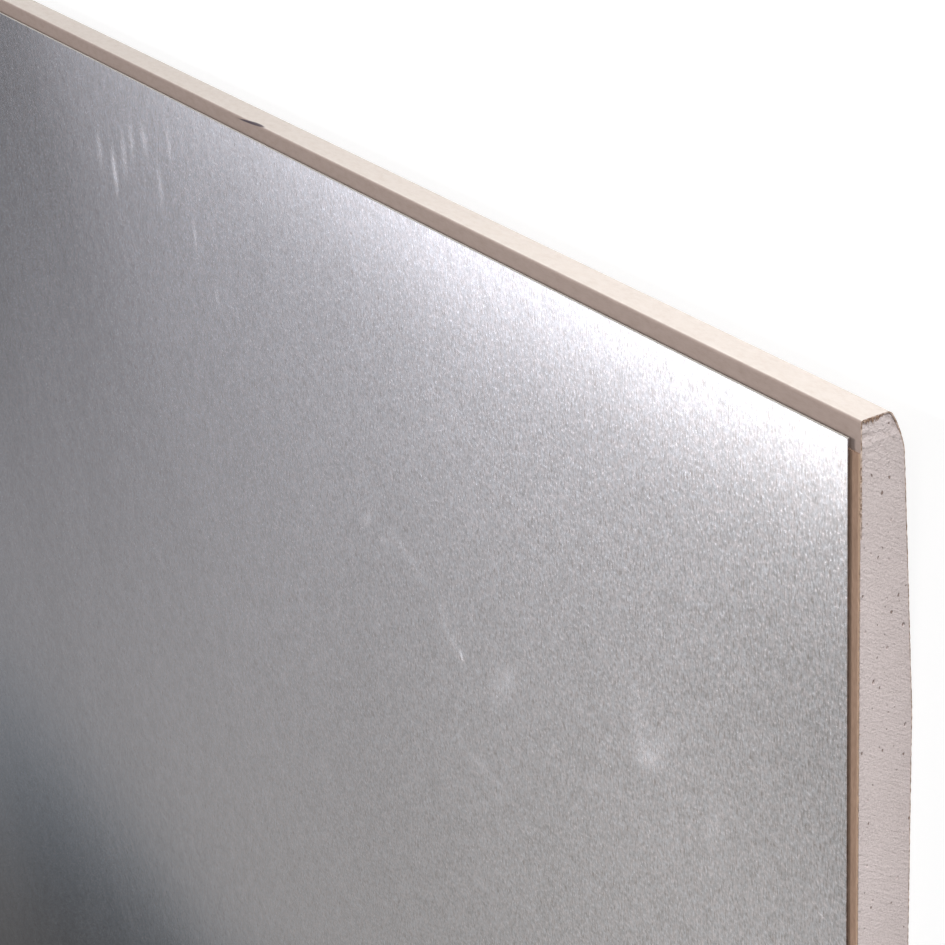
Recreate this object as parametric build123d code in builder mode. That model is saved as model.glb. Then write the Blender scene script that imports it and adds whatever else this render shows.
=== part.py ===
"""Steel-faced drywall sheet: a gypsum board in its paper liner, with sheet steel on its back.

The sheet lies flat as it is stacked, visible face down and steel up. X runs along the
length, Y across the width and Z up through the thickness. The origin is on the floor,
under the middle of the sheet. Both long edges are tapered and half-round towards the
visible face, and both ends are sawn square. All sizes are in millimetres.
"""

from build123d import *
import os

# The board, measured over its paper
board_length = 2000.0
board_width = 1250.0
board_thickness = 12.5

# The long edges: a flat edge face under the back, a half-round, then a long shallow taper
edge_face_height = 6.4
edge_foot_radius = 1.5
round_width = 8.0
round_crown = 0.4
shoulder_radius = 10.0
taper_depth = 2.6
taper_width = 60.0

# The paper liner: the face paper wraps the long edges and folds onto the back,
# where the back paper laps over its two flaps
paper_thickness = 0.3
fold_radius = 0.6
flap_width = 22.0
back_paper_setback = 6.0

# The steel sheet, glued on the back a little short of every edge
steel_thickness = 0.5
steel_side_setback = 3.8
steel_end_setback = 2.5

half_width = board_width / 2
flap_level = board_thickness - paper_thickness
sawn_end = Plane.YZ.offset(-board_length / 2)

# The board's outline under its back paper: one half is drawn, and the other mirrored
face_middle = (0, 0)
taper_start = (half_width - taper_width, 0)
shoulder = (half_width - round_width, taper_depth)
edge_foot = (half_width, flap_level - edge_face_height)
edge_top = (half_width, flap_level)
back_middle = (0, flap_level)

with BuildSketch(sawn_end) as board_section:
    with BuildLine():
        Polyline(face_middle, taper_start, shoulder)
        SagittaArc(shoulder, edge_foot, -round_crown)
        Polyline(edge_foot, edge_top, back_middle)
        mirror(about=Plane.YZ)
    make_face()
    # From the floor up, the corners lie level at the face, the shoulders, the edge feet and the back
    fillet(board_section.vertices().group_by(Axis.Y)[2], radius=edge_foot_radius)
    fillet(board_section.vertices().group_by(Axis.Y)[1], radius=shoulder_radius)
    back_corners = board_section.vertices().group_by(Axis.Y)[-1].sort_by(Axis.X)
    fillet([back_corners[0], back_corners[-1]], radius=fold_radius)

# The face paper is the rim of that outline, open on the back between its two flaps
with BuildPart() as face_paper:
    with BuildSketch(sawn_end) as paper_section:
        add(board_section.sketch_local)
        offset(board_section.sketch_local, amount=-paper_thickness, mode=Mode.SUBTRACT)
        with Locations((0, flap_level)):
            Rectangle(board_width - 2 * flap_width, 2 * paper_thickness, mode=Mode.SUBTRACT)
    extrude(amount=board_length)
face_paper.part.label = "face_paper"

# The core fills the board inside its papers, level with their cut ends
with BuildPart() as gypsum_core:
    with BuildSketch(sawn_end):
        add(board_section.sketch_local)
        add(paper_section.sketch_local, mode=Mode.SUBTRACT)
    extrude(amount=board_length)
gypsum_core.part.label = "gypsum_core"

# The back paper lies over the core and the flaps, and stops short of the long edges
with BuildPart() as back_paper:
    with BuildSketch(Plane.XY.offset(flap_level)):
        Rectangle(board_length, board_width - 2 * back_paper_setback)
    extrude(amount=paper_thickness)
back_paper.part.label = "back_paper"

# The steel sheet reaches past the back paper's long edges and stays off the sawn ends
steel_length = board_length - 2 * steel_end_setback
steel_width = board_width - 2 * steel_side_setback
with BuildPart() as steel_sheet:
    with BuildSketch(Plane.XY.offset(board_thickness)):
        Rectangle(steel_length, steel_width)
    extrude(amount=steel_thickness)
steel_sheet.part.label = "steel_sheet"

os.makedirs("parts", exist_ok=True)
for piece in (gypsum_core, face_paper, back_paper, steel_sheet):
    export_step(piece.part, f"parts/{piece.part.label}.step")
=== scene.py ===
# %% [markdown]
# # A steel-faced drywall sheet
# A drywall sheet is a slab of cast gypsum in a paper liner. This one also has a thin galvanised
# steel sheet glued to its back. The photograph shows one corner from close by: the steel, the
# papered long edge, and the sawn end with its bare gypsum.
#
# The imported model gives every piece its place. Its sizes could be typed in again, but they are
# read from its boxes, so that each dressed piece lies where its plain one does. Everything is in
# metres, in that same frame: X along the sheet, Y across it, Z up through it, from the face
# paper on the floor to the steel.

# %% The frame
import math
import random

import bmesh
import bpy
import numpy as np
from mathutils import Matrix, Vector, noise


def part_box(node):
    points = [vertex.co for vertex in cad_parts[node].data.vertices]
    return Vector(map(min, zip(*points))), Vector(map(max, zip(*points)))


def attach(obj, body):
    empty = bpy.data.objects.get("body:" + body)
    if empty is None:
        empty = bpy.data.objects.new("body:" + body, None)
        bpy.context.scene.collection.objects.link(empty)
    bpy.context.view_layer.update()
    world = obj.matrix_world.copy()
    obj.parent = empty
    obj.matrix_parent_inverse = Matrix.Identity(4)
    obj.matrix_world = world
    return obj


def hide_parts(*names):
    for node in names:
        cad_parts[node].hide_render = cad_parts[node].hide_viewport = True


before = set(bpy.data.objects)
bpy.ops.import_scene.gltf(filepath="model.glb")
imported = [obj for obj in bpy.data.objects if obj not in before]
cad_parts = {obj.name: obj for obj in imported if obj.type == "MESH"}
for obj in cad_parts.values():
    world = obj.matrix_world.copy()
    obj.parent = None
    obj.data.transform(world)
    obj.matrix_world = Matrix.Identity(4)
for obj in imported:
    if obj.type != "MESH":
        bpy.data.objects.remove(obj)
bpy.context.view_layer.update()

MM = 0.001
_, core_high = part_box("gypsum_core")
_, face_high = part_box("face_paper")
back_low, back_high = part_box("back_paper")
steel_low, steel_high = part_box("steel_sheet")
half_length = face_high.x
half_width = face_high.y
flap_level = face_high.z
paper = half_width - core_high.y
print("nodes", sorted(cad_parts), "paper", round(paper / MM, 2), "mm")

# %% [markdown]
# ## The camera
# The camera comes first, because every finish is judged through it. It could be turned by eye,
# but its place and its tilt were solved from the straight edges of the photograph. They are
# written as a distance from the near corner and as two directions: back along the view, and up
# in the picture. A rotation matrix needs three directions at right angles, so the third is their
# cross product. The lens gives the picture's width, and no shift is needed.

# %% Camera
near_corner = Vector((half_length, half_width, flap_level))
camera_from_corner = Vector((281.2, 175.8, 244.0)) * MM
view_back = Vector((0.7687, 0.4408, 0.4636)).normalized()
picture_up = Vector((-0.3403, 0.8954, -0.2872))
picture_right = picture_up.cross(view_back).normalized()
picture_up = view_back.cross(picture_right)
lens_length = 95.24
sensor_width = 36.0

camera_data = bpy.data.cameras.new("corner_camera")
camera_data.lens = lens_length
camera_data.sensor_width = sensor_width
camera_data.clip_start = 10 * MM
camera = bpy.data.objects.new("corner_camera", camera_data)
bpy.context.scene.collection.objects.link(camera)
turn = Matrix((picture_right, picture_up, view_back)).transposed().to_4x4()
camera.matrix_world = Matrix.Translation(near_corner + camera_from_corner) @ turn
bpy.context.scene.camera = camera
print("camera at", [round(v, 3) for v in camera.matrix_world.translation])

# %% [markdown]
# ## Writing a finish as arithmetic
# A finish is a tree of shader nodes, and most of them only do arithmetic. They could be added
# and linked one at a time, but then a short formula fills a page. The class below wraps a
# socket, so `1 - pores * 0.4` adds the Math nodes by itself. Any other node comes from one
# method, `node`: its type, its settings, which are set first, and what goes in its sockets.

# %% A socket that can do sums
class Wire:
    """A socket of a node tree. Arithmetic on it adds Math nodes."""

    def __init__(self, tree, socket=None):
        self.tree = tree
        self.socket = socket

    def node(self, kind, settings=None, inputs=None):
        """Adds a node and returns its first output that is in use."""
        made = self.tree.nodes.new(kind)
        for name, value in (settings or {}).items():
            if name == "stops":
                while len(made.color_ramp.elements) < len(value):
                    made.color_ramp.elements.new(0.5)
                for stop, (place, level) in zip(made.color_ramp.elements, value):
                    stop.position = place
                    stop.color = (level, level, level, 1.0)
            else:
                setattr(made, name, value)
        for name, value in (inputs or {}).items():
            if isinstance(value, Wire):
                self.tree.links.new(value.socket, made.inputs[name])
            else:
                made.inputs[name].default_value = value
        return Wire(self.tree, next((s for s in made.outputs if s.enabled), None))

    def of(self, name):
        """Another output of the node that this socket belongs to."""
        return Wire(self.tree, self.socket.node.outputs[name])

    def sum_node(self, operation, *values):
        return self.node("ShaderNodeMath", {"operation": operation}, dict(enumerate(values)))

    def __add__(self, other):
        return self.sum_node("ADD", self, other)

    def __sub__(self, other):
        return self.sum_node("SUBTRACT", self, other)

    def __rsub__(self, other):
        return self.sum_node("SUBTRACT", other, self)

    def __mul__(self, other):
        return self.sum_node("MULTIPLY", self, other)

    def __abs__(self):
        return self.sum_node("ABSOLUTE", self)

    __radd__ = __add__
    __rmul__ = __mul__

    def step(self, start, end):
        """A soft step: 0 up to start, 1 from end, or the other way round."""
        low, high = min(start, end), max(start, end)
        before, after = (0.0, 1.0) if start < end else (1.0, 0.0)
        return self.node(
            "ShaderNodeMapRange",
            {"interpolation_type": "SMOOTHSTEP"},
            {"Value": self, "From Min": low, "From Max": high, "To Min": before, "To Max": after},
        )

    def blend(self, first, second):
        """The first colour where this is 0, the second where it is 1."""
        mixed = self.node("ShaderNodeMix", {"data_type": "RGBA"}, {"Factor": self})
        sockets = mixed.socket.node.inputs
        for name, value in (("A", first), ("B", second)):
            socket = next(s for s in sockets if s.name == name and s.type == "RGBA")
            if isinstance(value, Wire):
                self.tree.links.new(value.socket, socket)
            else:
                socket.default_value = (*value, 1.0)
        return Wire(self.tree, mixed.socket.node.outputs[2])


print("sums on sockets are ready")

# %% [markdown]
# ## What every finish starts from
# A finish is one Principled shader. What is the same all over, such as the metallic value, is
# set on the shader's own socket. What varies is linked to it. The pattern's place is read from
# Object coordinates, and turned into millimetres, because a grain is known in millimetres.
#
# Two patterns come back in several finishes. A grain is noise stretched to a size in three
# directions, because paper fibres and rolled zinc are longer one way than the other. A mark is a
# soft slim patch from one place to another, for a scratch or a smudge. Both could be painted in
# an image, but nodes need no image and stay sharp from close by.

# %% Starting a finish
def start_finish(name, **constants):
    """A new material with one shader, and a wire to build its pattern from."""
    material = bpy.data.materials.new(name)
    material.use_nodes = True
    tree = material.node_tree
    tree.nodes.clear()
    wire = Wire(tree)
    shader = wire.node("ShaderNodeBsdfPrincipled", None, constants)
    wire.node("ShaderNodeOutputMaterial", None, {"Surface": shader})
    return material, wire, shader


def feed(shader, **links):
    """Links a varying value to the shader, with a space in a socket's name written as _."""
    for name, value in links.items():
        shader.tree.links.new(value.socket, shader.socket.node.inputs[name.replace("_", " ")])


def place(wire):
    """The point on the sheet in metres, and its three parts in millimetres."""
    point = wire.node("ShaderNodeTexCoord").of("Object")
    parts = wire.node("ShaderNodeSeparateXYZ", None, {"Vector": point})
    return point, [parts.of(axis) * (1 / MM) for axis in "XYZ"]


def facing(wire, axis):
    """The surface's own normal along one axis: 1 facing along it, 0 beside it, -1 against it."""
    normal = wire.node("ShaderNodeNewGeometry").of("Normal")
    return wire.node("ShaderNodeSeparateXYZ", None, {"Vector": normal}).of(axis)


def grain(wire, point, size, detail=2.0, seed=0.0, rough=0.5):
    """Cloudy noise whose grains measure size, three lengths in millimetres."""
    scale = [1 / (length * MM) for length in size]
    stretched = wire.node(
        "ShaderNodeMapping",
        None,
        {"Vector": point, "Scale": scale, "Location": (seed, seed, seed)},
    )
    return wire.node(
        "ShaderNodeTexNoise",
        None,
        {"Vector": stretched, "Scale": 1.0, "Detail": detail, "Roughness": rough},
    )


def mark(wire, point, start, stop, width, height, reach=2.0):
    """A soft slim patch: 1 along its middle, 0 outside, from place to place in from the corner."""
    near, far = [
        Vector((half_length - x * MM, half_width - y * MM, height)) for x, y in (start, stop)
    ]
    along = far - near
    local = wire.node(
        "ShaderNodeMapping",
        {"vector_type": "TEXTURE"},
        {
            "Vector": point,
            "Location": (near + far) / 2,
            "Rotation": (0, 0, math.atan2(along.y, along.x)),
            "Scale": (along.length / 2 + width * MM / 2, width * MM / 2, reach * MM),
        },
    )
    gradient = {"gradient_type": "SPHERICAL"}
    return wire.node("ShaderNodeTexGradient", gradient, {"Vector": local}).of("Fac")


def relief(wire, height, strength, distance):
    """A bump for the shader's normal. Distance is what a height of 1 stands for, in millimetres."""
    return wire.node(
        "ShaderNodeBump",
        None,
        {"Height": height, "Strength": strength, "Distance": distance * MM},
    )


print("finishes start from one shader")

# %% [markdown]
# ## The face paper's section
# The face paper is the cream liner on the room side. One web of it wraps both long edges and
# folds onto the back in two flaps. To draw its section, a flat face gets a corner where the
# sheet changes direction, and a vertex bevel rounds those corners as the paper bends round the
# wet core. The arcs could be worked out point by point, but a bevel only has to be told how far
# back along the lines it starts: an arc of radius r that turns by an angle a starts
# r * tan(a / 2) back.

# %% The section's sizes
edge_face_height = 6.4 * MM
round_width = 8.0 * MM
round_crown = 0.4 * MM
taper_depth = 2.6 * MM
taper_width = 60.0 * MM
fold_radius = 0.6 * MM
edge_foot_radius = 1.5 * MM
shoulder_radius = 10.0 * MM
flap_width = 22.0 * MM
round_steps = 8
bend_segments = 10


def bend_start(before, corner, after, radius):
    """How far from a corner its arc starts."""
    angle = (corner - before).angle(after - corner)
    return radius * math.tan(angle / 2)


def half_section():
    """The right half's corners, from the flap's cut edge round to the taper's start."""
    shoulder = Vector((0, half_width - round_width, taper_depth))
    foot = Vector((0, half_width, flap_level - edge_face_height))
    chord = shoulder - foot
    swell = Vector((0, -chord.z, chord.y)).normalized() * round_crown * 4
    corners = [
        Vector((0, half_width - flap_width, flap_level)),
        Vector((0, half_width, flap_level)),
        foot,
    ]
    for step in range(1, round_steps):
        share = step / round_steps
        corners.append(foot + chord * share + swell * share * (1 - share))
    corners.append(shoulder)
    corners.append(Vector((0, half_width - taper_width, 0)))
    return corners


right_half = half_section()
left_half = [Vector((0, -c.y, c.z)) for c in reversed(right_half)]
outline = right_half + left_half
print("corners in the section", len(outline))

# %% [markdown]
# ## The web of paper
# The section is filled as one face, its corners are bevelled, and the face is then thrown away
# but its edge is kept. The top side between the flaps goes too, because the back paper closes
# it. The edge is cut into short steps, so that the web's sawn ends can be ragged. It is then
# extruded along the sheet in three spans: two narrow ones for the ragged ends and a long one.
# A flat sheet could be bent round the core instead, but an extrusion keeps the section the same
# all along, as the board line does.

# %% Drawing the section and extruding the web
paper_step = 0.7 * MM
ragged_span = 1.2 * MM
stations = [-half_length, -half_length + ragged_span, half_length - ragged_span, half_length]


def round_corners(bm, verts, radius_of):
    """Bevels each named corner of the section's one face to its radius."""
    for corner, radius in radius_of.items():
        before, after = outline[corner - 1], outline[(corner + 1) % len(outline)]
        bmesh.ops.bevel(
            bm, geom=[verts[corner]], offset=bend_start(before, outline[corner], after, radius),
            offset_type="OFFSET", affect="VERTICES", segments=bend_segments, profile=0.5,
            material=-1,
        )


def draw_section(bm, x):
    """The paper's outer line at one X, as a chain of edges."""
    verts = [bm.verts.new((x, c.y, c.z)) for c in outline]
    bm.faces.new(verts)
    fold, foot, shoulder = 1, 2, 2 + round_steps
    radii = {fold: fold_radius, foot: edge_foot_radius, shoulder: shoulder_radius}
    last = len(outline) - 1
    radii.update({last - corner: radius for corner, radius in list(radii.items())})
    round_corners(bm, verts, radii)
    bmesh.ops.delete(bm, geom=bm.faces[:], context="FACES_ONLY")
    long_edges = [e for e in bm.edges if e.calc_length() > half_width]
    opening = [e for e in long_edges if e.verts[0].co.z > flap_level / 2]
    bmesh.ops.delete(bm, geom=opening, context="EDGES_FACES")


def cut_evenly(bm, edges, step):
    """Cuts each edge into pieces no longer than step."""
    for edge in edges:
        cuts = int(edge.calc_length() / step)
        if cuts:
            bmesh.ops.subdivide_edges(bm, edges=[edge], cuts=cuts)


def extrude_web(bm):
    """Extrudes the chain of edges from the first station through the others."""
    chain = bm.edges[:]
    for here, there in zip(stations, stations[1:]):
        made = bmesh.ops.extrude_edge_only(bm, edges=chain)["geom"]
        verts = {g for g in made if isinstance(g, bmesh.types.BMVert)}
        edges = [g for g in made if isinstance(g, bmesh.types.BMEdge)]
        chain = [e for e in edges if verts.issuperset(e.verts)]
        bmesh.ops.translate(bm, verts=list(verts), vec=(there - here, 0, 0))


web = bmesh.new()
draw_section(web, stations[0])
cut_evenly(web, web.edges[:], paper_step)
extrude_web(web)
print("web faces", len(web.faces))

# %% [markdown]
# ## Giving the paper its thickness
# The web has no thickness yet. Its faces are first made to agree on which side is outward, and
# then a solidify puts a second skin inside. Drawing the inner line by hand would work too, but
# it wouldn't keep the paper equally thick round the bends. Paper that a saw has torn isn't
# straight, so the vertices at both ends move back by a small noise, the same on each run.

# %% Wall and ragged ends
tear_grain = 1.1 * MM
ply_grain = 0.5 * MM
face_tear = 0.3 * MM
touching = 0.001 * MM


def turn_outward(bm):
    """Turns the faces outward: the lowest ones have to look down."""
    bmesh.ops.recalc_face_normals(bm, faces=bm.faces[:])
    lowest = min(bm.faces, key=lambda f: f.calc_center_median().z)
    if lowest.normal.z > 0:
        bmesh.ops.reverse_faces(bm, faces=bm.faces[:])


def tear_ends(bm, depth, seed):
    """Moves the vertices at both sawn ends back by an uneven depth."""
    for vert in bm.verts:
        x, y, z = vert.co
        if abs(abs(x) - half_length) > touching:
            continue
        coarse = Vector((y / tear_grain, z / tear_grain, seed + x))
        fine = Vector((y / ply_grain, z / ply_grain, seed + 9 + x))
        torn = 0.5 + 0.35 * noise.noise(coarse) + 0.35 * noise.noise(fine)
        vert.co.x -= math.copysign(depth * min(max(torn, 0), 1), x)


def section_line(bm):
    """The places in the section that a mesh's vertices take, as Y and Z."""
    return {(round(v.co.y, 6), round(v.co.z, 6)) for v in bm.verts}


turn_outward(web)
outer_line = section_line(web)
bmesh.ops.solidify(web, geom=web.faces[:], thickness=paper)
inner_line = section_line(web) - outer_line
tear_ends(web, face_tear, 3.0)
print("points on the paper's inner side", len(inner_line))

# %% [markdown]
# ## Putting a finished piece in the scene
# Every finished mesh becomes an object at the origin, takes its finish, rides on the sheet's one
# rigid body, and hides the plain CAD solid it stands for, if any. Four pieces need the same lines,
# and so does the loose torn paper, so the lines are one function.

# %% A helper for finished pieces
def finish_piece(name, bm, material, replaced=None, smooth_angle=None):
    """Makes the object, gives it its finish and ties it to the frame."""
    mesh = bpy.data.meshes.new(name)
    bm.to_mesh(mesh)
    bm.free()
    piece = bpy.data.objects.new(name, mesh)
    bpy.context.scene.collection.objects.link(piece)
    mesh.materials.append(material)
    if smooth_angle:
        mesh.shade_smooth()
        mesh.set_sharp_from_angle(angle=math.radians(smooth_angle))
    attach(piece, "root")
    if replaced:
        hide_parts(replaced)
    print(name, "triangles", sum(len(p.vertices) - 2 for p in mesh.polygons))


print("finished pieces ride on the sheet's one body")

# %% [markdown]
# ## The face paper's finish
# Liner paper is smooth and matt, and its cream is not quite even: fibres make it cloudy at about
# a millimetre. Over some decimetres it is painted a little darker and paler again, which is painted
# shade, as if the light fell off away from the sawn end. The flaps on the back are painted greyer
# than the edge, which is painted shade: they face up and get less of the light than the edge, so
# the surface's own normal tells them apart. Where the saw has torn it, the brown inner plies show.
#
# About 20 cm in from the sawn end the fold has a small dent. It could be pressed into the mesh, but
# it is less than a millimetre wide, so its shadow is painted on the fold as a dark mark: a painted
# shadow.

# %% Face paper finish
cream = (0.85, 0.772, 0.708)
cream_shade = (0.70, 0.60, 0.52)
# painted shade: the flaps' greyer colours stand in for the flaps facing up, away from the light
flap_painted_shade = (0.39, 0.306, 0.270)
flap_painted_shade_dark = (0.29, 0.22, 0.185)
torn_brown = (0.25, 0.17, 0.12)
torn_dust = (0.62, 0.50, 0.43)
# painted shadow: the colour of the dent's dark crease
dent_painted_shadow = (0.05, 0.04, 0.055)
black = (0.0, 0.0, 0.0)
# painted shade: the length of the wave that paints the paper darker away from each sawn end
falloff_length = 620
dent_start = (217.0, 0.85)
dent_stop = (200.0, -0.45)
dent_width = 0.75


def face_paper_finish():
    material, wire, shader = start_finish("cream_liner", Roughness=0.85)
    point, (x, _, _) = place(wire)
    clouds = grain(wire, point, (2.5, 1.2, 1.2), detail=4.0)
    fibres = grain(wire, point, (0.9, 0.22, 0.22), detail=2.0, seed=5.0)
    shade = (clouds - 0.5) * 0.42 + (fibres - 0.5) * 0.30
    # painted shade: faces that look up, the flaps, take the greyer flap colours
    facing_up_shade = facing(wire, "Z").step(0.35, 0.85)
    clean = facing_up_shade.blend(cream, flap_painted_shade)
    darker = facing_up_shade.blend(cream_shade, flap_painted_shade_dark)
    body = (shade + 0.14).step(0.0, 0.5).blend(clean, darker)
    # painted shade: darker away from each sawn end and paler again, less on the flaps, as if the
    # light fell off
    turns = (x - half_length / MM) * (2 * math.pi / falloff_length)
    painted_falloff = 1 - wire.sum_node("COSINE", turns)
    body = (painted_falloff * (0.145 - facing_up_shade * 0.07)).blend(body, black)
    # painted shadow: the dark line of the dent on the fold
    dent = mark(wire, point, dent_start, dent_stop, dent_width, flap_level, reach=0.9)
    body = (dent.step(0.03, 0.40) * 0.9).blend(body, dent_painted_shadow)
    dust = grain(wire, point, (0.5, 0.9, 0.9), detail=1.0, seed=12.0).step(0.38, 0.62)
    torn = abs(facing(wire, "X")).step(0.4, 0.7)
    feed(shader, Base_Color=torn.blend(body, dust.blend(torn_brown, torn_dust)))
    feed(shader, Normal=relief(wire, clouds + fibres, 0.15, 0.05))
    return material


finish_piece("face_liner", web, face_paper_finish(), "face_paper", smooth_angle=35)

# %% [markdown]
# ## The gypsum core
# The core fills the paper, so its ends take their outline from the paper's inner side. Filling
# that outline with one face would be enough for a clean cut, but this one needs dents and pores.
# Each sawn end is therefore a fine grid, with its columns spread across the sheet and closer
# together at the crumbly long edges, each from the lower line up to the upper one.

# %% The core's outline
split_level = flap_level / 2 + 2 * MM
flap_end = half_width - flap_width
edge_cell = 0.42 * MM
field_cell = 0.82 * MM
flap_step = 0.02 * MM
rows = 18


def side_line(points, pick):
    """One height for each Y, in order."""
    heights = {}
    for y, z in points:
        heights[y] = pick(heights.get(y, z), z)
    ys = sorted(heights)
    return ys, [heights[y] for y in ys]


def column_places():
    """The columns' places across the sheet, closer together over the flaps."""
    edge_width = core_high.y - flap_end
    edge_cells = round(edge_width / edge_cell)
    field_cells = round(flap_end / field_cell)
    field = [flap_end * i / field_cells for i in range(1, field_cells + 1)]
    shares = [(edge_width - flap_step) * i / edge_cells for i in range(edge_cells + 1)]
    right = field + [flap_end + flap_step + share for share in shares]
    return [-y for y in reversed(right)] + [0.0] + right


def column(y):
    """A column's place and its lowest and highest points."""
    high = back_low.z if abs(y) <= flap_end else float(np.interp(y, *upper_line))
    return y, float(np.interp(y, *lower_line)), high


lower_line = side_line([p for p in inner_line if p[1] < split_level], min)
upper_line = side_line([p for p in inner_line if p[1] > split_level], max)
columns = [column(y) for y in column_places()]
print("columns", len(columns), "rows", rows)

# %% [markdown]
# ## Stretching the grid
# The grid starts as a square of the right number of cells. Each of its vertices then moves to
# its column and to its share of the column's height. Extruding the whole grid along the sheet
# closes the solid and gives the second sawn end. A bridge between two grids would do the same
# with one more mesh to keep in step.

# %% Stretching the grid and closing the solid
def grow(bm, travel):
    """Extrudes a whole grid by a distance, which closes it to a solid."""
    grown = bmesh.ops.extrude_face_region(bm, geom=bm.faces[:])["geom"]
    moved = [g for g in grown if isinstance(g, bmesh.types.BMVert)]
    bmesh.ops.translate(bm, verts=moved, vec=travel)
    bmesh.ops.recalc_face_normals(bm, faces=bm.faces[:])


core = bmesh.new()
bmesh.ops.create_grid(core, x_segments=len(columns) - 1, y_segments=rows, size=0.5)
for vert in core.verts:
    y, low, high = columns[round((vert.co.x + 0.5) * (len(columns) - 1))]
    vert.co = (-half_length, y, low + (high - low) * (vert.co.y + 0.5))
grow(core, (2 * half_length, 0, 0))
open_edges = sum(1 for e in core.edges if len(e.link_faces) != 2)
print("open edges", open_edges, "faces", len(core.faces))

# %% [markdown]
# ## What the saw leaves
# A saw leaves slanting marks across the end, and gypsum crumbles under the paper at the long
# edges. Both are small dents. They could be bump alone, but the crumbled corners show against
# the paper, so each vertex of the sawn ends moves back by a depth that is a sum of a wave along
# the marks and of noise. Noise at a point is the same on each run.

# %% Saw marks and crumbled edges, in millimetres
mark_slope = 0.675
mark_pitch = 2.6
crumbly_width = 13.0
broken_width = 3.6
wander_size = 11.0
lump_size = 0.9
crumb_size = 2.1
least_depth = 0.03
wave_depth = 0.02
lump_depth = 0.05
crumbly_depth = 0.34
broken_depth = 0.20


def soft(value):
    """A smooth step between 0 and 1."""
    value = min(max(value, 0.0), 1.0)
    return value * value * (3 - 2 * value)


def sawn_depth(y, z, end):
    """How far the gypsum lies behind the cut, from a place on the end."""
    from_edge = half_width / MM - abs(y)
    along = (y - mark_slope * z) / mark_pitch
    wander = noise.noise(Vector((y / wander_size, z / wander_size, end)))
    wave = 0.5 + 0.5 * math.sin(2 * math.pi * (along + 0.8 * wander))
    lumps = 0.5 + 0.5 * noise.noise(Vector((y / lump_size, z / lump_size, end + 20)))
    crumbs = 0.5 + 0.5 * noise.noise(Vector((y / crumb_size, z / crumb_size, end + 40)))
    crumbly = soft(1 - from_edge / crumbly_width)
    broken = soft((broken_width + 1.6 * wander + crumbs - from_edge) / 0.9)
    sawn = least_depth + wave_depth * wave * crumbs
    crumbled = (lump_depth + crumbly_depth * crumbly) * lumps * crumbs
    return sawn + crumbled + broken_depth * broken


for vert in core.verts:
    end = math.copysign(1.0, vert.co.x)
    vert.co.x -= end * sawn_depth(vert.co.y / MM, vert.co.z / MM, end) * MM
deepest = half_length - min(abs(v.co.x) for v in core.verts)
print("deepest dent", round(deepest / MM, 2), "mm")

# %% [markdown]
# ## Pores
# Foam in the wet gypsum leaves round pores, and the saw opens a few on each square centimetre.
# They could be cut out with spheres, but hundreds of cuts are slow and leave slivers. Instead a
# vertex of the grid is dissolved, which joins its four cells into one face with eight corners.
# An inset makes a smaller face inside, its corners move onto a circle, and two more insets sink
# it. A pore has about fifty triangles.
#
# A pore has to stay inside its cells. None is put where the columns change their spacing at the
# end of a flap, and none is so flat that its sinking walls cross and turn it inside out.

# %% Choosing where pores open
pore_count = 240
pore_clearance = 2.2 * MM
pore_margin = 1.0 * MM
draw = random.Random(11)


def pore_places(end):
    """Vertices of one sawn end that lie away from its edges."""
    heights = {round(y, 6): (low + pore_margin, high - pore_margin) for y, low, high in columns}
    inside = []
    for vert in core.verts:
        low, high = heights.get(round(vert.co.y, 6), (0, 0))
        off_edge = abs(vert.co.y) < half_width - pore_margin
        if vert.co.x * end > 0 and low < vert.co.z < high and off_edge:
            inside.append(vert)
    return inside


def pore_centres(end):
    """Some of those vertices, drawn at random and kept away from each other."""
    inside = pore_places(end)
    draw.shuffle(inside)
    taken, chosen = set(), []
    for vert in inside:
        if abs(abs(vert.co.y) - flap_end) < field_cell:
            continue
        column_cell = round(vert.co.y / pore_clearance)
        row_cell = round(vert.co.z / pore_clearance)
        nearby = {(column_cell + a, row_cell + b) for a in (-1, 0, 1) for b in (-1, 0, 1)}
        if taken.isdisjoint(nearby):
            taken.add((column_cell, row_cell))
            chosen.append(vert)
        if len(chosen) == pore_count:
            break
    return chosen


centres = pore_centres(1.0) + pore_centres(-1.0)
print("places for pores", len(centres))

# %% Opening the pores
pore_radii = [0.26 * MM, 0.26 * MM, 0.38 * MM, 0.38 * MM, 0.54 * MM]
pore_least = 0.18 * MM
pore_room = 0.85
mouth_inset = 0.18 * MM
pore_walls = [(0.12 * MM, 0.14 * MM), (0.03 * MM, 0.30 * MM)]


def shape_mouth(mouth):
    """Moves the corners of a pore's mouth onto a flattened circle."""
    middle = mouth.calc_center_median()
    radius = draw.choice(pore_radii) * draw.uniform(0.85, 1.15)
    squash = draw.uniform(0.55, 0.85)
    cell = edge_cell if abs(middle.y) > flap_end - field_cell else field_cell
    radius = min(radius, cell * pore_room)
    squash = max(squash, pore_least / radius)
    for corner in mouth.verts:
        away = corner.co - middle
        away.x = 0
        away = away.normalized() * radius
        away.z *= squash
        corner.co = middle + away


bmesh.ops.dissolve_verts(core, verts=centres)
mouths = [f for f in core.faces if len(f.verts) == 8]
bmesh.ops.inset_individual(core, faces=mouths, thickness=mouth_inset)
for mouth in mouths:
    shape_mouth(mouth)
for inset, sink in pore_walls:
    bmesh.ops.inset_individual(core, faces=mouths, thickness=inset, depth=-sink)
print("pores", len(mouths))

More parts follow.
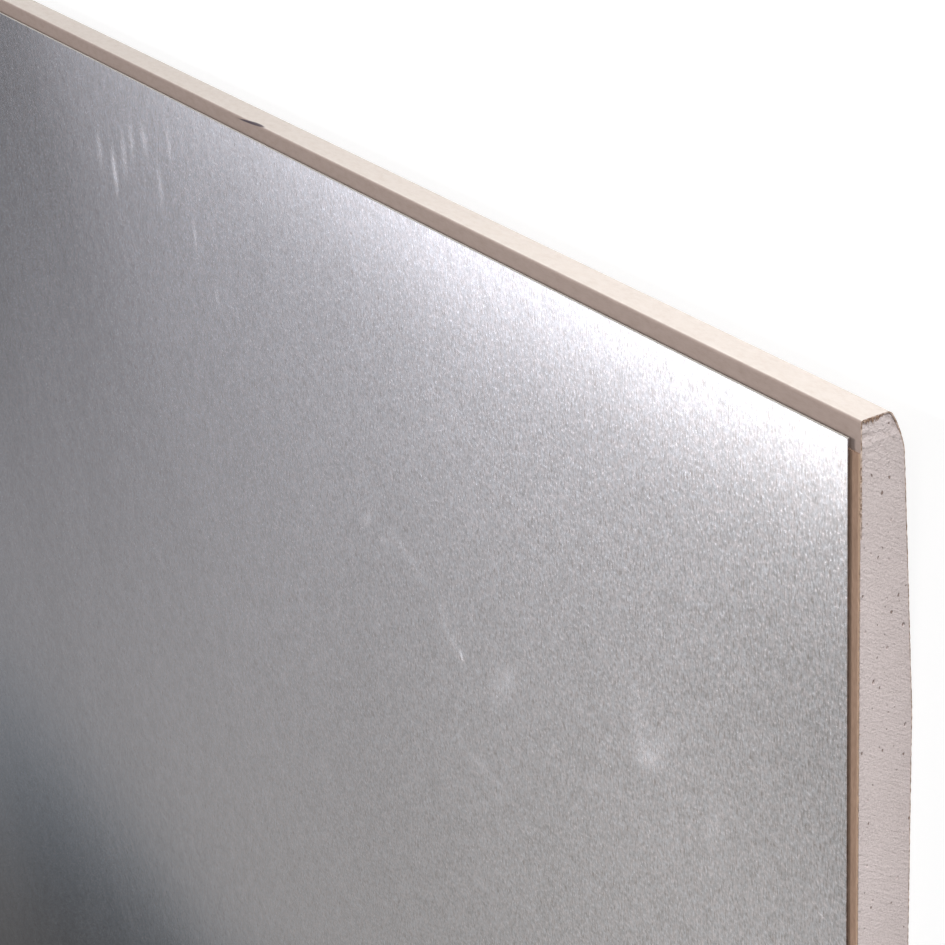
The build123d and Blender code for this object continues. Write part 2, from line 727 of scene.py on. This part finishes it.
# %% [markdown]
# ## The gypsum's finish
# Sawn gypsum is matt and nearly white, with a warm grey cast and a fine floury grain. The saw's
# slanting scratches are much finer than the grid, so they are colour and bump: noise that is
# stretched along the marks. The pattern is turned with two sums, across the marks and along
# them.
#
# The smallest pores are pits of painted shade with a little bump, because a mesh for each would be
# wasted. The real ones get painted shade by their depth: whatever lies far enough behind the cut is
# dark. The crumbly rims, at the long edges and under the back paper, are lumpier, and at the long
# edges the hollows of the lumps get a little painted shade.

# %% Gypsum finish
gypsum_shade = (0.57, 0.497, 0.482)
gypsum_white = (0.775, 0.685, 0.67)
# painted shade: the dark colour of the small pits, the pores' floors and the hollows of the crumbly
# rims
painted_pore_shade = (0.22, 0.15, 0.12)
end_place = half_length / MM
edge_place = half_width / MM


def gypsum_finish():
    material, wire, shader = start_finish("sawn_gypsum", Roughness=0.95)
    point, (x, y, z) = place(wire)
    across = y - z * mark_slope
    along = z + y * mark_slope
    turned = wire.node(
        "ShaderNodeCombineXYZ",
        None,
        {"X": across * 1.6, "Y": along * 0.14, "Z": x},
    )
    scratches = wire.node(
        "ShaderNodeTexNoise",
        None,
        {"Vector": turned, "Scale": 1.0, "Detail": 3.0},
    )
    flour = grain(wire, point, (0.45, 0.45, 0.45), detail=4.0, rough=0.6)
    clouds = grain(wire, point, (7.0, 7.0, 7.0), detail=2.0, seed=2.0)
    lumps = grain(wire, point, (1.1, 1.1, 1.1), detail=3.0, seed=6.0)
    pits = grain(wire, point, (0.8, 1.3, 0.8), detail=0.0, seed=8.0).step(0.21, 0.16)
    crumbly = abs(y).step(edge_place - 12.0, edge_place - 2.0)
    deep = abs(x).step(end_place - 0.34, end_place - 0.46)
    under_back = z.step(10.9, 12.1)
    tone = (flour - 0.5) * 1.6 + (clouds - 0.5) * 0.4 + (scratches - 0.5) * 0.45 + 0.45
    body = tone.blend(gypsum_shade, gypsum_white)
    hollow = (lumps - 0.5).step(-0.02, -0.16) * crumbly
    # painted shade: small pits, whatever lies deep behind the cut, and the crumbly rims' hollows
    # are darkened
    painted_shade_amount = pits * 0.8 + deep * 0.7 + hollow * 0.25
    feed(shader, Base_Color=painted_shade_amount.blend(body, painted_pore_shade))
    lumpy = crumbly * 0.45 + under_back * 0.35 + 0.12
    height = flour * 0.28 + scratches * 0.17 + lumps * lumpy - pits * 0.25
    feed(shader, Normal=relief(wire, height, 0.9, 1.0))
    return material


finish_piece("cast_core", core, gypsum_finish(), "gypsum_core", smooth_angle=50)

# %% [markdown]
# ## The back paper
# The back liner is one flat web of grey-brown paper. It laps over both flaps, and only a narrow
# rim of it shows round the steel. A box would be flat enough, but its sawn ends are torn like
# the face paper's. So it is a grid, fine across the sheet and with the same three spans along
# it, extruded by the paper's thickness.

# %% Back paper
back_tear = 0.35 * MM
liner_brown = (0.225, 0.143, 0.10)
liner_tan = (0.37, 0.245, 0.176)
liner_cut = (0.46, 0.32, 0.23)


def back_paper_finish():
    material, wire, shader = start_finish("brown_liner", Roughness=0.9)
    point, (x, _, _) = place(wire)
    fibres = grain(wire, point, (0.35, 1.6, 0.35), detail=3.0)
    clouds = grain(wire, point, (5.0, 9.0, 5.0), detail=3.0, seed=4.0)
    tone = (fibres - 0.5) * 1.3 + (clouds - 0.5) * 0.6 + 0.5
    body = tone.blend(liner_brown, liner_tan)
    at_cut = abs(x).step(end_place - 0.55, end_place - 0.1)
    feed(shader, Base_Color=at_cut.blend(body, liner_cut))
    feed(shader, Normal=relief(wire, fibres, 0.3, 0.06))
    return material


back_rows = round(2 * back_high.y / paper_step)
spans = len(stations) - 1
back = bmesh.new()
bmesh.ops.create_grid(back, x_segments=spans, y_segments=back_rows, size=0.5)
for vert in back.verts:
    along = stations[round((vert.co.x + 0.5) * spans)]
    vert.co = (along, 2 * back_high.y * vert.co.y, back_low.z)
grow(back, (0, 0, back_high.z - back_low.z))
tear_ends(back, back_tear, 30.0)
finish_piece("back_liner", back, back_paper_finish(), "back_paper")

# %% [markdown]
# ## Torn fibres
# Along each sawn end the saw pulls fibres and little teeth out of the liner, and they hang over
# the gypsum. Hair particles could make them, but they would have to be turned into a mesh for
# the export. So each is a cone with three sides, thousands of them in one mesh. They are made in
# small batches, because adding to a large mesh one cone at a time gets slower and slower.

# %% Adding fibres
batch_size = 60


def add_fibre(bm, root, direction, length, radius):
    """One thin cone from its root towards its tip."""
    turn = direction.to_track_quat("Z", "Y").to_matrix().to_4x4()
    lift = Matrix.Translation(root + direction.normalized() * length / 2)
    bmesh.ops.create_cone(
        bm, cap_ends=True, cap_tris=False, segments=3,
        radius1=radius, radius2=0.0, depth=length, matrix=lift @ turn,
    )


def fringe(bm, count, root_at, hang, length, radius):
    """Fibres along one line: root_at gives a place for a share of it, hang their direction."""
    batch_mesh = bpy.data.meshes.new("batch")
    while count > 0:
        batch = bmesh.new()
        for _ in range(min(count, batch_size)):
            root = root_at(draw.random())
            direction = Vector((0, draw.uniform(-0.6, 0.6), draw.uniform(-0.6, 0.6))) + hang
            direction.x = draw.uniform(-0.25, 0.1) * math.copysign(1, root.x)
            size = draw.uniform(0.35, 1.0)
            add_fibre(batch, root, direction, length * size, radius * draw.uniform(0.6, 1.2))
        batch.to_mesh(batch_mesh)
        batch.free()
        bm.from_mesh(batch_mesh)
        count -= batch_size
    bpy.data.meshes.remove(batch_mesh)


print("fibres come in batches of", batch_size)

# %% [markdown]
# ## A fringe on each sawn end
# Most fibres hang from the back paper over the gypsum, shorter ones stand up from the face
# paper, and a few larger teeth cross the wrapped edges. They start a little behind the cut, and
# those that reach past the sheet's own box are pushed back into it, so the sheet stays as long
# as before.

# %% Fibres on the sawn ends
fibre_setback = 0.1 * MM
root_lift = 0.05 * MM
back_fibres = (2400, 0.75 * MM, 0.085 * MM)
face_fibres = (1300, 0.4 * MM, 0.07 * MM)
edge_teeth = [(11, 1.6 * MM, 0.24 * MM), (24, 0.8 * MM, 0.16 * MM)]
edge_height = edge_face_height - fold_radius - edge_foot_radius


def fringe_edge(bm, cut, side):
    """The teeth on one wrapped edge, pointing in over the gypsum."""
    def on_edge(share):
        height = flap_level - fold_radius - share * edge_height
        return Vector((cut, side * (half_width - paper * 0.6), height))

    for count, length, radius in edge_teeth:
        fringe(bm, count, on_edge, Vector((0, -side, 0)), length, radius)


def fringe_end(bm, cut):
    """All the fibres of one sawn end."""
    def facing_up_shade(share):
        return Vector((cut, (2 * share - 1) * back_high.y, flap_level + root_lift))

    def on_face(share):
        return Vector((cut, (2 * share - 1) * (half_width - taper_width), paper * 0.8))

    count, length, radius = back_fibres
    fringe(bm, count, facing_up_shade, Vector((0, 0, -1)), length, radius)
    count, length, radius = face_fibres
    fringe(bm, count, on_face, Vector((0, 0, 1)), length, radius)
    for side in (-1, 1):
        fringe_edge(bm, cut, side)


fuzz = bmesh.new()
for end in (-1, 1):
    fringe_end(fuzz, end * (half_length - fibre_setback))
for vert in fuzz.verts:
    vert.co.x = min(max(vert.co.x, -half_length), half_length)
    vert.co.y = min(max(vert.co.y, -half_width), half_width)
print("fibre faces", len(fuzz.faces))

# %% [markdown]
# ## The fibres' finish
# Fibres pulled out at the top come from the paper's paler outside, and those below from its
# brown inner plies. Two materials could tell them apart, but they blend into each other, so one
# finish changes colour with its height.

# %% Fibre finish
fibre_tan = (0.46, 0.32, 0.235)
fibre_pale = (0.68, 0.55, 0.46)
fibre_dark = (0.20, 0.13, 0.10)
fibre_brown = (0.40, 0.27, 0.19)


def fibre_finish():
    material, wire, shader = start_finish("torn_fibres", Roughness=0.95)
    point, (_, _, z) = place(wire)
    speckle = grain(wire, point, (0.3, 0.6, 0.3), detail=1.0).step(0.35, 0.65)
    above = speckle.blend(fibre_tan, fibre_pale)
    below = speckle.blend(fibre_dark, fibre_brown)
    feed(shader, Base_Color=z.step(11.2, 11.7).blend(below, above))
    return material


finish_piece("torn_liner_fibres", fuzz, fibre_finish())

# %% [markdown]
# ## The steel sheet
# The sheet is cut by a shear, which leaves its edges a hair round. It could be drawn as a
# rectangle and extruded, but it is a plain box, so a cube is stretched to the CAD sheet's box
# and all its edges are bevelled a little. Its look is in its finish.

# %% Steel sheet
blunt_edge = 0.08 * MM

steel = bmesh.new()
bmesh.ops.create_cube(steel, size=1.0)
bmesh.ops.scale(steel, verts=steel.verts[:], vec=steel_high - steel_low)
bmesh.ops.translate(steel, verts=steel.verts[:], vec=(steel_low + steel_high) / 2)
bmesh.ops.bevel(
    steel, geom=steel.edges[:], offset=blunt_edge, offset_type="OFFSET", affect="EDGES",
    segments=3, profile=0.5, material=-1,
)
print("steel faces", len(steel.faces))

# %% [markdown]
# ## Marks on the steel
# A sheet that has been stacked and carried has scratches and smudges. A noise could scatter
# them, but the eye goes to the largest ones, so those are placed one by one where the photograph
# shows them. A row says where a mark starts and stops, how wide it is and how strong. Places are
# in millimetres: in from the sawn end, then in from the long edge.

# %% Scratches and smudges
light_marks = [
    ((131.6, 105.9), (132.8, 103.8), 1.7, 0.60),
    ((133.6, 104.6), (137.6, 101.0), 5.0, 0.14),
    ((138.0, 100.0), (139.5, 95.0), 5.0, 0.10),
    ((121.0, 110.5), (110.0, 97.5), 9.0, 0.13),
    ((113.6, 103.5), (112.6, 100.0), 1.6, 0.16),
    ((172.0, 88.5), (168.0, 82.5), 3.6, 0.16),
    ((166.0, 89.5), (162.0, 88.0), 2.4, 0.16),
    ((160.0, 84.0), (146.0, 92.0), 7.0, 0.10),
    ((44.0, 104.5), (40.0, 98.5), 4.4, 0.16),
    ((11.2, 103.0), (7.4, 104.0), 0.42, 0.55),
    ((66.5, 98.0), (57.5, 93.0), 7.5, 0.17),
    ((63.5, 98.0), (65.5, 82.0), 10.0, 0.12),
    ((60.5, 97.0), (55.5, 85.0), 7.0, 0.12),
    ((137.5, 128.5), (116.0, 133.5), 4.0, 0.14),
    ((289.0, 25.5), (289.5, 39.5), 4.2, 0.32),
    ((281.5, 19.0), (282.5, 33.0), 4.4, 0.18),
    ((276.0, 16.0), (276.5, 26.0), 4.6, 0.18),
    ((297.0, 24.0), (297.5, 34.0), 4.6, 0.18),
    ((268.0, 14.0), (268.5, 23.0), 4.6, 0.18),
    ((262.0, 22.0), (262.5, 36.0), 4.2, 0.14),
    ((254.0, 12.0), (254.5, 22.0), 4.0, 0.14),
    ((245.0, 33.0), (245.5, 42.0), 3.2, 0.16),
    ((236.5, 47.0), (237.0, 55.0), 3.2, 0.12),
]
dark_marks = [
    ((18.9, 96.0), (19.0, 97.0), 0.5, 0.8),
    ((10.6, 17.2), (10.7, 18.6), 0.5, 0.7),
    ((50.6, 8.8), (50.8, 10.2), 0.6, 0.6),
    ((25.0, 24.5), (25.2, 27.0), 0.5, 0.4),
]


def all_marks(wire, point, marks):
    """The sum of some marks, each with its strength."""
    total = 0.0
    for start, stop, width, strength in marks:
        total = mark(wire, point, start, stop, width, steel_high.z) * strength + total
    return total


print("marks on the steel", len(light_marks) + len(dark_marks))

# %% [markdown]
# ## The steel's finish
# Hot-dip zinc that is rolled smooth has a fine grain drawn out along the rolling direction,
# which here is across the sheet. Real grain tilts the reflection, but tilts this fine turn to
# flicker when the picture is small. So most of the grain is in the colour: flakes, a coarser
# speckle, long hairs, dark hairlines and bright sparkles. Only a little of it is bump and
# roughness. It is liveliest near the sawn ends and calmer by the long edges. Blotches and clouds
# some centimetres wide keep the whole sheet from looking flat from far away.
#
# A light mark is paler, duller and less metallic. The sheared sides along the sheet are nearly
# bare of metal shine, and the surface's own normal finds them.

# %% Galvanised steel finish
dark_zinc = (0.42, 0.415, 0.42)
cool_zinc = (0.80, 0.809, 0.864)
warm_zinc = (0.84, 0.80, 0.829)
hairline_brown = (0.40, 0.34, 0.31)
sparkle_white = (0.98, 0.96, 1.0)
sheared_grey = (0.58, 0.56, 0.51)


def steel_finish():
    material, wire, shader = start_finish("galvanised_steel")
    point, (x, y, _) = place(wire)
    flakes = grain(wire, point, (0.50, 0.75, 0.50), detail=2.0, rough=0.6) - 0.5
    speckle = grain(wire, point, (0.8, 1.05, 0.8), detail=1.0, seed=9.0) - 0.5
    hairs = grain(wire, point, (0.26, 2.4, 0.26), detail=1.0, seed=7.0) - 0.5
    blotches = grain(wire, point, (2.8, 5.0, 2.8), detail=2.0, seed=5.0) - 0.5
    tinge = grain(wire, point, (1.3, 1.7, 1.3), detail=1.0, seed=14.0).step(0.35, 0.65)
    clouds = grain(wire, point, (45.0, 120.0, 45.0), detail=4.0, seed=3.0) - 0.5
    light = all_marks(wire, point, light_marks)
    dark = all_marks(wire, point, dark_marks)
    sheared = abs(facing(wire, "Y")).step(0.5, 0.9)

    long_edge = abs(y).step(edge_place - 60.0, edge_place - 10.0)
    near_cut = abs(x).step(end_place - 330.0, end_place - 40.0)
    lively = (near_cut * 0.7 + 0.3) * (1 - long_edge * 0.35)
    fine = (flakes * 1.4 + speckle * 1.0 + hairs * 1.1) * lively
    tone = fine + blotches * 0.4 + clouds * 0.2 + light * 0.8 - dark + 0.5
    zinc = tone.blend(dark_zinc, tinge.blend(cool_zinc, warm_zinc))
    hairline = hairs.step(-0.11, -0.19)
    sparkle = flakes.step(0.09, 0.24) * lively
    lined = (hairline * 0.5).blend(zinc, hairline_brown)
    face = (sparkle * 0.55).blend(lined, sparkle_white)
    feed(shader, Base_Color=sheared.blend(face, sheared_grey))

    dull = flakes.step(0.02, 0.22)
    feed(shader, Metallic=(1 - light * 0.65) * (1 - sheared * 0.8))
    feed(shader, Roughness=clouds * 0.03 + dull * 0.06 + light * 0.25 + sheared * 0.3 + 0.10)
    height = flakes * 0.035 + speckle * 0.07 + hairs * 0.03 + blotches * 0.22
    feed(shader, Normal=relief(wire, height, 0.25, 0.12))
    return material


finish_piece("steel_facing", steel, steel_finish(), "steel_sheet")

# %% [markdown]
# ## The studio
# Metal shows what is round it, so the studio is part of the look. It could be built from panels,
# but each would also throw light and shadow on the paper, so it is drawn in the world. A dome
# has paler and darker bands from the horizon up, and a darker corner low on one side. One soft
# box stands where the steel mirrors it near the corner, and a dark flag with a bluish rim stands
# low beside it. Directions are read as an elevation and an azimuth in degrees. Matt surfaces get
# half of this light, and the camera itself sees plain white.

# %% The parts of the studio
dome_stops = [
    (0.0, 0.26), (12 / 90, 0.60), (17 / 90, 0.345), (20 / 90, 0.44), (23 / 90, 0.45),
    (26 / 90, 0.55), (30 / 90, 0.62), (36 / 90, 0.445), (60 / 90, 0.30), (1.0, 0.58),
]
open_sky = 0.62
box_slope = 0.825
flag_slope = 0.253


def dome(wire, elevation, azimuth):
    """The wall that the steel mirrors, with its darker corner, and open sky all round."""
    wall = wire.node("ShaderNodeValToRGB", {"stops": dome_stops}, {"Fac": elevation * (1 / 90)})
    mirrored = azimuth.step(-15.0, 8.0) * azimuth.step(85.0, 60.0)
    corner = azimuth.step(35.9, 11.8) * elevation.step(21.7, 20.8)
    return wall * (1 - corner * 0.61) * mirrored + open_sky * (1 - mirrored)


def soft_box(elevation, azimuth):
    """The soft box: its lower side slants, and its light falls off slowly upwards."""
    slant = elevation - azimuth * box_slope
    glow = slant.step(5.6, 14.3) * 0.95 + slant.step(0.0, 6.5) * 0.05
    rising = glow * elevation.step(18.4, 39.5) * azimuth.step(13.8, 15.6)
    return rising * elevation.step(60.0, 45.0)


def flag(elevation, azimuth):
    """The dark flag, and the bluish rim along its upper side."""
    below = elevation - azimuth * flag_slope
    dark = below.step(8.6, 7.9) * azimuth.step(22.2, 38.6) * azimuth.step(75.0, 60.0)
    band = below.step(9.0, 8.0) * below.step(5.4, 7.4)
    return dark, band * azimuth.step(26.0, 36.0) * azimuth.step(75.0, 60.0)


print("stops in the dome", len(dome_stops))

# %% Putting the studio together
box_strength = 4.15
flag_strength = 0.8
matt_loss = 0.5
cool_light = (1.0, 1.0, 1.055)
warm_light = (1.025, 1.0, 0.965)
rim_blue = (0.82, 1.0, 1.18)
plain_white = (1.0, 1.0, 1.0, 1.0)


def studio():
    world = bpy.data.worlds.new("studio")
    bpy.context.scene.world = world
    world.use_nodes = True
    world.node_tree.nodes.clear()
    wire = Wire(world.node_tree)
    towards = wire.node("ShaderNodeTexCoord").of("Generated")
    split = wire.node("ShaderNodeSeparateXYZ", None, {"Vector": towards})
    degrees = 180 / math.pi
    elevation = wire.sum_node("ARCSINE", split.of("Z")) * degrees
    azimuth = wire.sum_node("ARCTAN2", split.of("Y") * -1.0, split.of("X") * -1.0) * degrees

    dark, rim = flag(elevation, azimuth)
    shaded = dome(wire, elevation, azimuth) * (1 - dark * flag_strength)
    path = wire.node("ShaderNodeLightPath")
    matt_share = 1 - path.of("Is Diffuse Ray") * matt_loss
    level = (shaded + soft_box(elevation, azimuth) * box_strength) * matt_share
    tint = azimuth.step(20.0, 43.0).blend(cool_light, warm_light)
    hue = rim.blend(tint, rim_blue)

    lighting = wire.node("ShaderNodeBackground", None, {"Color": hue, "Strength": level})
    seen = wire.node("ShaderNodeBackground", None, {"Color": plain_white})
    surface = wire.node(
        "ShaderNodeMixShader",
        None,
        {0: path.of("Is Camera Ray"), 1: lighting, 2: seen},
    )
    wire.node("ShaderNodeOutputWorld", None, {"Surface": surface})
    print("studio nodes", len(world.node_tree.nodes))


studio()

# %% [markdown]
# ## Lamps
# The studio alone leaves the matt surfaces flat, so three broad lamps shape them. One is low,
# beyond the near corner, and lights the wrapped edge. One is over the far end, and puts the thin
# shadow of the steel's edge on the back paper. One is low beyond the other long edge. Area lamps
# would do from close by, but a sheet two metres long would be lit unevenly. They are suns with a
# wide angle, so their shadows are soft, and the steel doesn't mirror them.

# %% Three soft suns
def sun(name, towards, strength, angle):
    """A lamp that shines from a direction, with a soft shadow."""
    data = bpy.data.lights.new(name, "SUN")
    data.energy = strength
    data.angle = math.radians(angle)
    lamp = bpy.data.objects.new(name, data)
    bpy.context.scene.collection.objects.link(lamp)
    lamp.rotation_euler = Vector(towards).to_track_quat("Z", "Y").to_euler()
    lamp.visible_glossy = False
    print(name, "strength", strength)


sun("edge_lamp", (0.60, 0.78, 0.16), strength=2.5, angle=14)
sun("far_end_lamp", (-0.78, 0.05, 0.61), strength=2.35, angle=14)
sun("far_edge_lamp", (-0.30, -0.93, 0.17), strength=1.0, angle=20)

# %% [markdown]
# ## The floor
# A pale floor holds the sheet's shadow. A plain white paint would need so much lamp light to
# look white that the paper would burn out. So what the camera and the reflections see of the
# floor is mostly plain white, and only a part is lit paint.

# %% Floor
floor_reach = 30.0
floor_drop = 0.05 * MM
paint_grey = (0.7, 0.7, 0.7, 1.0)
white_strength = 1.33
white_share = 0.65


def floor_finish():
    material = bpy.data.materials.new("pale_floor")
    material.use_nodes = True
    material.node_tree.nodes.clear()
    wire = Wire(material.node_tree)
    paint = wire.node("ShaderNodeBsdfDiffuse", None, {"Color": paint_grey})
    white = wire.node("ShaderNodeEmission", None, {"Strength": white_strength})
    path = wire.node("ShaderNodeLightPath")
    shown = path.of("Is Camera Ray") + path.of("Is Glossy Ray") + path.of("Is Transmission Ray")
    ground = wire.node("ShaderNodeMixShader", None, {0: shown * white_share, 1: paint, 2: white})
    wire.node("ShaderNodeOutputMaterial", None, {"Surface": ground})
    return material


ground_grid = bmesh.new()
bmesh.ops.create_grid(ground_grid, x_segments=8, y_segments=8, size=floor_reach)
bmesh.ops.translate(ground_grid, verts=ground_grid.verts[:], vec=(0, 0, -floor_drop))
floor_mesh = bpy.data.meshes.new("floor")
ground_grid.to_mesh(floor_mesh)
ground_grid.free()
floor_mesh.materials.append(floor_finish())
floor = bpy.data.objects.new("floor", floor_mesh)
bpy.context.scene.collection.objects.link(floor)
print("floor faces", len(floor_mesh.polygons))

# %% [markdown]
# ## Closing
# The picture is shown as it is lit, without a film look.

# %% Picture settings
bpy.context.scene.view_settings.view_transform = "Standard"
